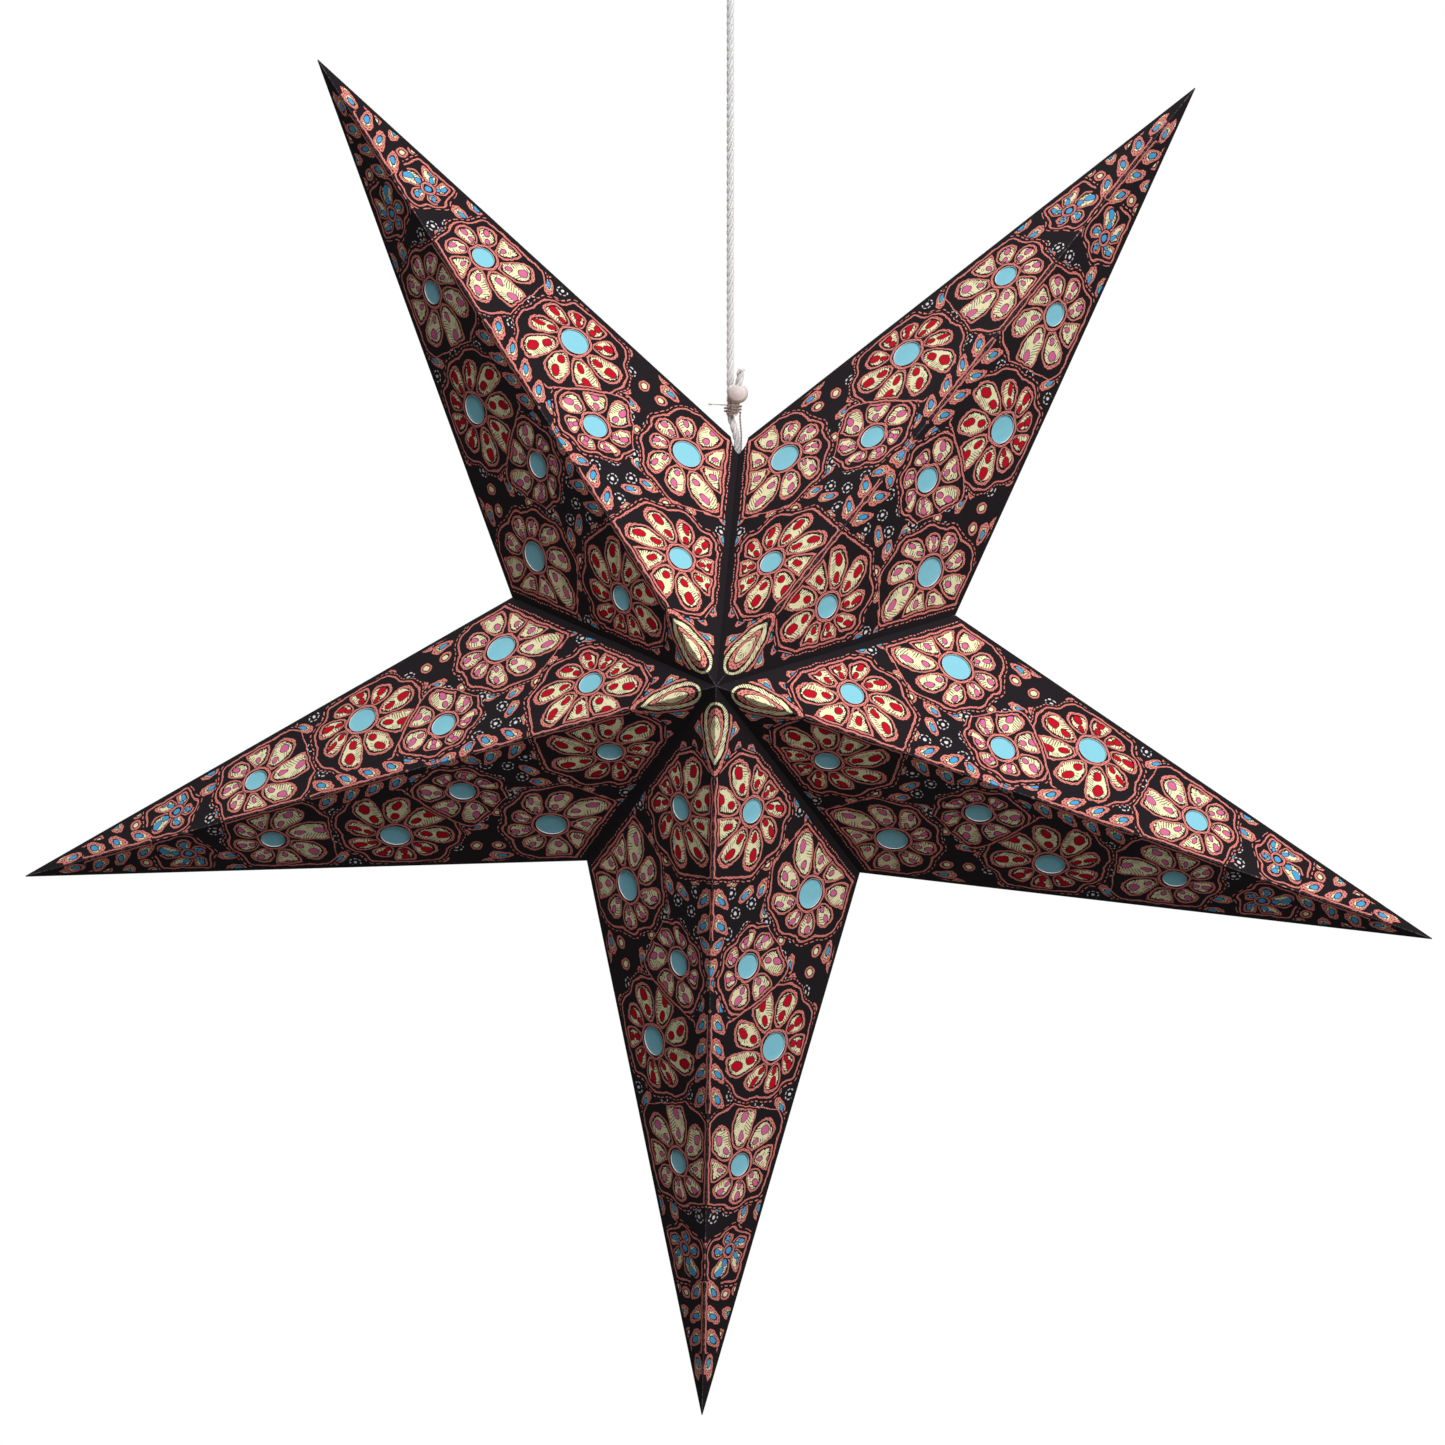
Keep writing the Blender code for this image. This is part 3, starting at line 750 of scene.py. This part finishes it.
def folded_sheet(paper):
    """An arm that points up, as a solid: four facets that end at the valleys."""
    bm = pyramid(0)
    other = Vector((-VALLEY_NORMAL.x, 0, VALLEY_NORMAL.z))
    cuts = [(-SHEET_CLEAR * normal, normal) for normal in (VALLEY_NORMAL, other)]
    for point, normal in (*cuts, (TIP - paper.tip * UP, UP)):
        whole = bm.verts[:] + bm.edges[:] + bm.faces[:]
        cut = bmesh.ops.bisect_plane(
            bm, geom=whole, plane_co=point, plane_no=normal, clear_outer=True
        )["geom_cut"]
        edges = [item for item in cut if isinstance(item, bmesh.types.BMEdge)]
        bmesh.ops.edgeloop_fill(bm, edges=edges)
    bmesh.ops.remove_doubles(bm, verts=bm.verts, dist=WELD)
    creases = [
        edge
        for edge in bm.edges
        if edge.calc_length() > NOTCH_RADIUS and max(end.co.z for end in edge.verts) > TIP.z / 2
    ]
    bend = {"affect": "EDGES", "segments": 2, "profile": 0.5, "material": -1}
    bmesh.ops.bevel(bm, geom=creases, offset=paper.crease, **bend)
    return finished(bm, outward=True)


def window_cutters(paper):
    """Every window of an arm's four panels, as one mesh of short rods."""
    bm = bmesh.new()
    reach = CUT_REACH * FACET_NORMAL
    for along, across, radius in WINDOWS:
        point = APEX + (along * RIDGE + across * ACROSS) / 1000
        for side, face in ((1, 1), (1, -1), (-1, 1), (-1, -1)):
            flip = Vector((side, face, 1))
            ends = (point - reach) * flip, (point + reach) * flip
            rod_between(bm, *ends, radius / 1000, paper.window_sides)
    return finished(bm, outward=True)


def cord_hole_cutter(side):
    """The opening at the tied notch, half in each of its two arms."""
    bm = bmesh.new()
    way = Vector((side * NOTCH_DIRECTION.x, 0, NOTCH_DIRECTION.z))
    start, end = (NOTCH_RADIUS - APEX_DEPTH / 2) * way, (NOTCH_RADIUS + APEX_DEPTH / 2) * way
    rod_between(bm, start, end, CORD_HOLE, HOLE_SIDES)
    return finished(bm)


def add_print_map(mesh):
    """Lays the print's map on a sheet: metres along the ridge and from it, off it on the inside."""
    layer = mesh.uv_layers.new(name="print").data
    for face in mesh.polygons:
        flip = Vector((copysign(1, face.center.x), -copysign(1, face.center.y), 1))
        hidden = (face.normal * flip).dot(FACET_NORMAL) < -0.5
        for index in face.loop_indices:
            point = mesh.vertices[mesh.loops[index].vertex_index].co
            point = Vector((abs(point.x), -abs(point.y), point.z)) - APEX
            place = (max(0, point.dot(RIDGE)), point.dot(ACROSS))
            layer[index].uv = (-0.1, 0.05) if hidden else place


def copy_of_nodes(*names):
    """The merged meshes of CAD nodes, as one bmesh."""
    bm = bmesh.new()
    for name in names:
        bm.from_mesh(frame["nodes"][name].data)
    bmesh.ops.remove_doubles(bm, verts=bm.verts, dist=WELD / 10)
    return bm


def add_arm_piece(arm, kind, mesh, material, nodes):
    """A piece of one arm, which flattens with it when the star is folded."""
    piece = add_piece(f"{arm}_{kind}", mesh, material, arm, nodes)
    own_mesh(piece)


# Cord shapes


def smooth_route(points, step):
    """Points about a step apart on a smooth curve through the given ones."""
    ends = [2 * points[0] - points[1], *points, 2 * points[-1] - points[-2]]
    route = [points[0]]
    for a, b, c, d in zip(ends, ends[1:], ends[2:], ends[3:]):
        count = max(1, round((c - b).length / step))
        for k in range(1, count + 1):
            t = k / count
            bend = (2 * a - 5 * b + 4 * c - d) * t**2 + (3 * b - a - 3 * c + d) * t**3
            route.append(0.5 * (2 * b + (c - a) * t + bend))
    return route


def strand_routes(route, diameter, strands, lay):
    """The middle lines of a cord's strands, wound round its route, and one strand's radius."""
    radius = diameter / 2 / (1 + 1 / sin(pi / strands))
    offset = diameter / 2 - radius
    lines = [[] for _ in range(strands)]
    side = (route[1] - route[0]).orthogonal().normalized()
    gone = 0.0
    for last, point, coming in zip([route[0], *route], route, [*route[1:], route[-1]]):
        way = (coming - last).normalized()
        side = (side - way * side.dot(way)).normalized()
        gone += (point - last).length
        for k, line in enumerate(lines):
            angle = 2 * pi * (gone / lay + k / strands)
            out = cos(angle) * side + sin(angle) * way.cross(side)
            line.append(point + offset * out)
    return lines, radius


def tube_mesh(lines, radius, tapers=(1,), detail=3):
    """Round tubes along lines, as one mesh with the map named lay."""
    curve = bpy.data.curves.new("tubes", "CURVE")
    curve.dimensions = "3D"
    curve.bevel_depth = radius
    curve.bevel_resolution = detail
    curve.use_fill_caps = True
    for line in lines:
        spline = curve.splines.new("POLY")
        spline.points.add(len(line) - 1)
        for k, (point, place) in enumerate(zip(spline.points, line)):
            point.co = (*place, 1)
            point.radius = tapers[min(k, len(tapers) - 1)]
    mesh = evaluated(in_scene("tubes", curve))
    long = sum((b - a).length for a, b in zip(lines[0], lines[0][1:]))
    layer = mesh.uv_layers[0]
    layer.name = "lay"
    for corner in layer.data:
        corner.uv = (corner.uv[0], corner.uv[1] * long)
    return mesh


def joined(*meshes):
    """Several meshes as one. Their maps stay."""
    bm = bmesh.new()
    for mesh in meshes:
        bm.from_mesh(mesh)
    return finished(bm, outward=True)


def knot_route(centre, half_sizes, diameter, turn):
    """A tight overhand knot's line: a trefoil that fills an ellipsoid."""
    reach = Vector([half - diameter / 2 for half in half_sizes])
    points = []
    for k in range(KNOT_POINTS + 1):
        t = 2 * pi * k / KNOT_POINTS
        x = (sin(t) + 2 * sin(2 * t)) / 3
        z = (cos(t) - 2 * cos(2 * t)) / 3
        point = reach * Vector((x, -sin(3 * t), z))
        points.append(centre + Matrix.Rotation(turn, 3, "Z") @ point)
    return points


def frayed_end(root, way, count, spread, radius, tapers):
    """A mesh of thin fibres that fan out from a cut end, the same ones each time."""
    side = way.orthogonal().normalized()
    other = way.cross(side)
    fibres = []
    for k in range(count):
        angle = GOLDEN_ANGLE * k
        lean = spread * sqrt((k + 0.5) / count)
        out = lean * (cos(angle) * side + sin(angle) * other)
        size = FIBRE * (0.7 + 0.3 * sin(5.1 * k))
        start = root + size * (0.6 * out - 0.3 * way)
        bend = start + size * (0.275 * out + 0.55 * way)
        tip = bend + size * (0.65 * out + 0.4 * way)
        fibres.append(smooth_route([start, bend, tip], size / 4))
    return tube_mesh(fibres, radius, tapers, detail=1)


def add_laid(choice, body, slot, node, route, diameter, extra=(), tapers=(1,)):
    """Cord or twine laid along a route, in place of its CAD node."""
    strands = choice.strands if slot == "cotton_cord" else TWINE_STRANDS
    lay = choice.lay * diameter / choice.cord
    lines, radius = strand_routes(route, diameter, strands, lay)
    mesh = joined(tube_mesh(lines, radius, tapers), *extra)
    yarn = bpy.data.materials[YARNS[slot]]
    return add_piece(f"{node}_laid", mesh, yarn, body, [node], True)


# Where the cord and the tie run, as in the part


def seam(n, y, s):
    """A point given from the seam: to its right, to the back, and out from the star's centre."""
    return CENTRE + n * SEAM_RIGHT + Vector((0, y, 0)) + s * SEAM_OUT


def seam_points(unit, y, s, *steps):
    """Points by a place on the seam, each given as so many units right, back and out from it."""
    return [seam(a * unit, y + b * unit, s + c * unit) for a, b, c in steps]


def end_axis(cord, twine):
    """The short cord end's foot, beside the cord under the binding, and the way that it leans."""
    heading = Vector((cos(END_TURN), sin(END_TURN), 0))
    low = BINDING_Z - (BINDING_RISE + twine) / 2
    foot = (cord / cos(END_LEAN) + GAP) * heading + (low - END_FOOT) * UP
    return foot, cos(END_LEAN) * UP + sin(END_LEAN) * heading


def bead_centre(cord, twine):
    foot, axis = end_axis(cord, twine)
    low = BINDING_Z + (BINDING_RISE + twine) / 2 + GAP
    return foot + (low + BEAD_RADIUS - foot.z) / axis.z * axis, axis


def binding_route(cord, twine):
    """The twine's loose end, then its turns round the cord and the short cord end."""
    foot, axis = end_axis(cord, twine)
    away = cord / 2 / cos(END_LEAN) + GAP + twine / 2
    low = BINDING_Z - BINDING_RISE / 2
    count = round(BINDING_TURNS * TURN_POINTS)
    turns = []
    for k in range(count + 1):
        angle = -pi / 2 + 2 * pi * k / TURN_POINTS
        height = low + BINDING_RISE * (1 - k / count)
        out = Vector((cos(angle), sin(angle), 0))
        beside = foot + (height - foot.z) / axis.z * axis
        middle = beside if out.dot(beside) > 0 else height * UP
        turns.append(middle + away * out)
    start = turns[0]
    loose = [
        start + Vector((-share * LOOSE_END, -bow * twine, bow * twine / 2))
        for share, bow in ((1.0, 1.2), (0.7, 0.9), (0.4, 0.5), (0.15, 0.15))
    ]
    return loose, turns


def loop_points(cord):
    shares = ((-0.11, 0.0), (-0.34, 0.26), (-0.5, 0.60), (-0.36, 0.88), (0.0, 1.0))
    shares += tuple((-across, up) for across, up in reversed(shares[:-1]))
    foot = LOOP_TOP + GAP
    rise = cord / 2 - foot
    return [Vector((a * LOOP_WIDTH, 0, foot + b * rise)) for a, b in shares]


def strand_points(cord):
    """The cord from the binding through the notch to the stopper knot inside the star."""
    split = (BINDING_Z - FOLD_CLEAR) * UP
    return [
        split,
        split - 0.8 * cord * UP,
        *seam_points(
            cord, 0, NOTCH_RADIUS, (-0.6, 0.15, 1.6), (-0.28, 0.37, 0.2), (-0.32, 0.38, -0.8)
        ),
        *seam_points(cord, 0, LACE_S, (-0.85, 0.85, 3.8)),
        *seam_points(cord, LACE_Y, LACE_S, (-1.4, -0.8, 1.9), (-1.2, 0, 0.5), (-0.6, 0, 0)),
        seam(FOLD_CLEAR + PAPER, LACE_Y, LACE_S),
    ]


def lacing_points(last_turn, twine):
    """The twine from the binding through the front seam flaps and back, to its small knot."""
    deeper = FLAP_WIDTH - LACE_DEEP
    under = last_turn - (twine / 2 + GAP) * UP
    near_hole = (3.6, 2.5, 6.5), (3, 0, 1.6), (0, 0, 0), (-3, 0.8, -1.2)
    round_flap = (-3, -1, -0.6), (0, 1.3, -1.5), (2.6, -0.6, 0.4)
    return [
        last_turn,
        under + twine * Vector((-0.2, 0.3, -2.5)),
        *seam_points(twine, 0, NOTCH_RADIUS, (1.1, -2.5, 4)),
        *seam_points(twine, 0, LACE_S, (1.6, -4.6, 16)),
        *seam_points(twine, -LACE_Y, LACE_S, *near_hole),
        *seam_points(twine, deeper * EDGE_S - LACE_Y, LACE_S - deeper * EDGE_Y, *round_flap),
    ]


# Operators


def pointed(name, data, place, target):
    """A camera or a lamp in its place, pointed at a target."""
    made = in_scene(name, data)
    made.location = place
    made.rotation_mode = "QUATERNION"
    made.rotation_quaternion = (target - place).to_track_quat("-Z", "Y")
    return made


class LANTERN_OT_camera(Operator):
    """Sets the camera where the photograph was taken from"""

    bl_idname = "lantern.camera"
    bl_label = "Camera"

    def execute(self, context):
        stage = context.scene.lantern_stage
        flat, up = cos(stage.elevation), sin(stage.elevation)
        back = Vector((sin(stage.azimuth) * flat, -cos(stage.azimuth) * flat, up))
        lens = bpy.data.cameras.new("camera")
        lens.sensor_width = SENSOR
        lens.lens = SENSOR * stage.distance / stage.view_width
        place = VIEW_CENTRE + stage.distance * back
        context.scene.camera = pointed("camera", lens, place, VIEW_CENTRE)
        return {"FINISHED"}


class LANTERN_OT_hanging_cord(Operator):
    """Makes the laid cord that carries the star, with the knot and the loop at its top"""

    bl_idname = "lantern.hanging_cord"
    bl_label = "Hanging cord"

    def execute(self, context):
        choice = context.scene.lantern_cord
        make_yarn("laid_cotton", choice.cotton, dark=0.86, pitch=0.0016, depth=0.00003, soft=1)
        middle = (LOOP_TOP - LOOP_KNOT.z) * UP
        start = Vector((0, 0, middle.z - LOOP_KNOT.z - GAP + CORD_TUCK))
        end = Vector((0, 0, BINDING_Z + FOLD_CLEAR))
        tuck = LOOP_TUCK * UP
        line = loop_points(choice.cord)
        routes = {
            "hanging_cord": [end, start],
            "hanging_loop": [line[0] - tuck, *line, line[-1] - tuck],
            "loop_knot": knot_route(middle, LOOP_KNOT, choice.cord, 0),
        }
        step = choice.lay / LAY_POINTS
        routes = {node: smooth_route(points, step) for node, points in routes.items()}
        cord, *pieces = (
            add_laid(choice, "hanger", "cotton_cord", node, route, choice.cord)
            for node, route in routes.items()
        )
        return {"FINISHED"}


class LANTERN_OT_tie(Operator):
    """Makes what joins the star to its cord: binding, cord ends, lacing and knots"""

    bl_idname = "lantern.tie"
    bl_label = "Tie"

    def execute(self, context):
        choice = context.scene.lantern_cord
        cord, twine = choice.cord, choice.string
        make_yarn("brown_yarn", choice.twine, dark=0.66, pitch=0.0007, depth=0.00002, soft=0)

        def cotton(node, points, diameter=cord, extra=()):
            route = smooth_route(points, choice.lay / LAY_POINTS)
            add_laid(choice, "tie", "cotton_cord", node, route, diameter, extra)

        def brown(node, points, pace=twine / 3, extra=(), tapers=(1,)):
            route = smooth_route(points, pace)
            add_laid(choice, "tie", "brown_twine", node, route, twine, extra, tapers)

        centre, axis = bead_centre(cord, twine)
        foot, _ = end_axis(cord, twine)
        cut = centre + (BEAD_RADIUS + END_TAIL - END_CUT) * axis
        cotton("cord_end", [foot, cut], extra=[frayed_end(cut, axis, *CORD_FRAY)])
        cotton("cord_strand", strand_points(cord))
        knot = seam(FOLD_CLEAR + PAPER + GAP + STOPPER_KNOT, LACE_Y, LACE_S)
        tight = cord * STOPPER_SHARE
        cotton("stopper_knot", knot_route(knot, (STOPPER_KNOT,) * 3, tight, 0.4), tight)

        loose, turns = binding_route(cord, twine)
        thin = round(3 * LOOSE_END / twine)
        tapers = [0.35 + 0.65 * (k / thin) ** 1.5 for k in range(thin)] + [1.0]
        way = (loose[0] - loose[1]).normalized()
        fray = frayed_end(loose[0], way, *TWINE_FRAY)
        brown("binding_twine", [*loose, *turns], extra=[fray], tapers=tapers)
        lace = lacing_points(turns[-1], twine)
        brown("lacing_twine", lace)
        way = (lace[-1] - lace[-2]).normalized()
        knot = lace[-1] + (TWINE_KNOT + GAP) * way
        brown("twine_knot", knot_route(knot, (TWINE_KNOT,) * 3, twine, 0), twine / 4)
        return {"FINISHED"}


class LANTERN_OT_bead(Operator):
    """Turns the pale bead on the short cord end"""

    bl_idname = "lantern.bead"
    bl_label = "Bead"

    def execute(self, context):
        choice = context.scene.lantern_cord
        centre, axis = bead_centre(choice.cord, choice.string)
        start = asin(BEAD_BORE / BEAD_RADIUS)
        bm = bmesh.new()
        line = []
        for k in range(BEAD_POINTS + 1):
            angle = start + (pi - 2 * start) * k / BEAD_POINTS
            out, up = BEAD_RADIUS * sin(angle), BEAD_RADIUS * cos(angle)
            line.append(bm.verts.new((out, 0, BEAD_SHARE * up)))
        for a, b in zip(line, line[1:] + line[:1]):
            bm.edges.new((a, b))
        rim = bm.verts[:] + bm.edges[:]
        bmesh.ops.spin(bm, geom=rim, axis=UP, angle=2 * pi, steps=BEAD_STEPS, use_merge=True)
        bmesh.ops.remove_doubles(bm, verts=bm.verts, dist=WELD / 10)
        mesh = finished(bm, outward=True)
        mesh.transform(stood_along(axis, centre))
        wood = make_bead_wood(choice.bead, centre)
        add_piece("bead_turned", mesh, wood, "bead", ["cord_bead"], True)
        return {"FINISHED"}


class LANTERN_OT_printed_arms(Operator):
    """Folds the five printed arms and cuts their windows"""

    bl_idname = "lantern.printed_arms"
    bl_label = "Printed arms"

    def execute(self, context):
        paper = context.scene.lantern_paper
        material = make_printed_paper(paper)
        hollow = in_scene("hollow", finished(pyramid(paper.sheet)))
        windows = in_scene("windows", window_cutters(paper))
        holes = {
            "upper_left": in_scene("hole_right", cord_hole_cutter(1)),
            "upper_right": in_scene("hole_left", cord_hole_cutter(-1)),
        }
        for arm in ARM_NAMES:
            work = in_scene(arm, folded_sheet(paper))
            for cutter in filter(None, (hollow, holes.get(arm), windows)):
                cut = work.modifiers.new(cutter.name, "BOOLEAN")
                cut.operation = "DIFFERENCE"
                cut.object = cutter
            mesh = evaluated(work)
            add_print_map(mesh)
            mesh.transform(arm_place(arm))
            nodes = [f"{arm}_panel_{place}" for place in PLACES]
            add_arm_piece(arm, "printed_sheet", mesh, material, nodes)
        for cutter in (hollow, windows, *holes.values()):
            bpy.data.objects.remove(cutter)
        return {"FINISHED"}


class LANTERN_OT_seam_flaps(Operator):
    """Makes the black flaps along the valleys, where neighbouring arms meet"""

    bl_idname = "lantern.seam_flaps"
    bl_label = "Seam flaps"

    def execute(self, context):
        material = make_black_paper(context.scene.lantern_paper)
        for arm in ARM_NAMES:
            nodes = [f"{arm}_flap_{place}" for place in PLACES]
            bm = copy_of_nodes(*nodes)
            bmesh.ops.dissolve_limit(bm, angle_limit=radians(1), verts=bm.verts, edges=bm.edges)
            layer = bm.faces.layers.float.new("cut_edge")
            for face in bm.faces:
                wide = face.calc_area() / (face.calc_perimeter() / 2)
                face[layer] = float(wide < CUT_EDGE)
            add_arm_piece(arm, "seam_flaps", finished(bm), material, nodes)
        return {"FINISHED"}


class LANTERN_OT_tissue(Operator):
    """Makes the blue tissue glued inside the arms, seen through the windows"""

    bl_idname = "lantern.tissue"
    bl_label = "Tissue"

    def execute(self, context):
        material = make_tissue(context.scene.lantern_paper)
        for arm in ARM_NAMES:
            node = f"{arm}_liner"
            mesh = finished(copy_of_nodes(node))
            add_arm_piece(arm, "blue_tissue", mesh, material, [node])
        return {"FINISHED"}


def background_ray(wire):
    """1 where the camera, a reflection or clear glass looks."""
    rays = wire.node("LightPath").outputs()
    return rays["Is Camera Ray"] | rays["Is Glossy Ray"] | rays["Is Transmission Ray"]


def lay_floor():
    """A pale floor that looks nearly white and throws little light back up."""
    bm = bmesh.new()
    bmesh.ops.create_circle(bm, cap_ends=True, segments=FLOOR_SIDES, radius=FLOOR_RADIUS)
    bmesh.ops.translate(bm, verts=bm.verts, vec=(0, 0, FLOOR_LEVEL))
    floor = in_scene("floor", finished(bm))
    material, wire = new_material("pale_floor")
    tree, seen = wire.tree, background_ray(wire)
    finish_material(material, paint(FLOOR_COLOUR, FLOOR_SEEN, seen), 0.95)
    white = wire.node("Emission", {"Color": (1, 1, 1, 1), "Strength": 1.0})
    lit = Wire(tree, tree.nodes["Principled BSDF"].outputs[0])
    mixed = wire.node("MixShader", {0: seen * FLOOR_WHITE, 1: lit, 2: white})
    plug_in(tree.nodes["Material Output"], {"Surface": mixed})
    floor.data.materials.append(material)


class LANTERN_OT_stage(Operator):
    """Lays the pale floor and sets the lamps and the white surroundings"""

    bl_idname = "lantern.stage"
    bl_label = "Stage"

    def execute(self, context):
        stage = context.scene.lantern_stage
        context.scene.view_settings.view_transform = "Standard"
        lay_floor()
        world = bpy.data.worlds.new("pale_room")
        context.scene.world = world
        world.use_nodes = True
        tree = world.node_tree
        colour = paint((stage.sky,) * 3, (1, 1, 1), background_ray(Wire(tree)))
        plug_in(tree.nodes["Background"], {"Color": colour})
        for name, place in LAMPS.items():
            lamp = bpy.data.lights.new(name, "AREA")
            lamp.size = LAMP_SIZE
            lamp.energy = getattr(stage, name)
            pointed(name, lamp, place, CENTRE)
        return {"FINISHED"}


OPERATORS = (
    LANTERN_OT_camera,
    LANTERN_OT_hanging_cord,
    LANTERN_OT_tie,
    LANTERN_OT_bead,
    LANTERN_OT_printed_arms,
    LANTERN_OT_seam_flaps,
    LANTERN_OT_tissue,
    LANTERN_OT_stage,
)


class VIEW3D_PT_paper_star_lantern(Panel):
    """The lantern's settings and its makers"""

    bl_label = "Paper star lantern"
    bl_space_type = "VIEW_3D"
    bl_region_type = "UI"
    bl_category = "Lantern"

    def draw(self, context):
        for settings in SETTINGS:
            box = self.layout.box()
            group = getattr(context.scene, settings)
            for name in group.__annotations__:
                box.prop(group, name)
        for operator in OPERATORS:
            self.layout.operator(operator.bl_idname)


SETTINGS = {
    "lantern_paper": LanternPaperSettings,
    "lantern_cord": LanternCordSettings,
    "lantern_stage": LanternStageSettings,
}
CLASSES = (*SETTINGS.values(), *OPERATORS, VIEW3D_PT_paper_star_lantern)


def register():
    for made in CLASSES:
        bpy.utils.register_class(made)
    for name, group in SETTINGS.items():
        setattr(bpy.types.Scene, name, PointerProperty(type=group))


def unregister():
    for name in SETTINGS:
        delattr(bpy.types.Scene, name)
    for made in reversed(CLASSES):
        bpy.utils.unregister_class(made)


def main():
    register()
    for operator in OPERATORS:
        getattr(bpy.ops.lantern, operator.bl_idname.split(".")[1])()


if __name__ == "__main__":
    main()
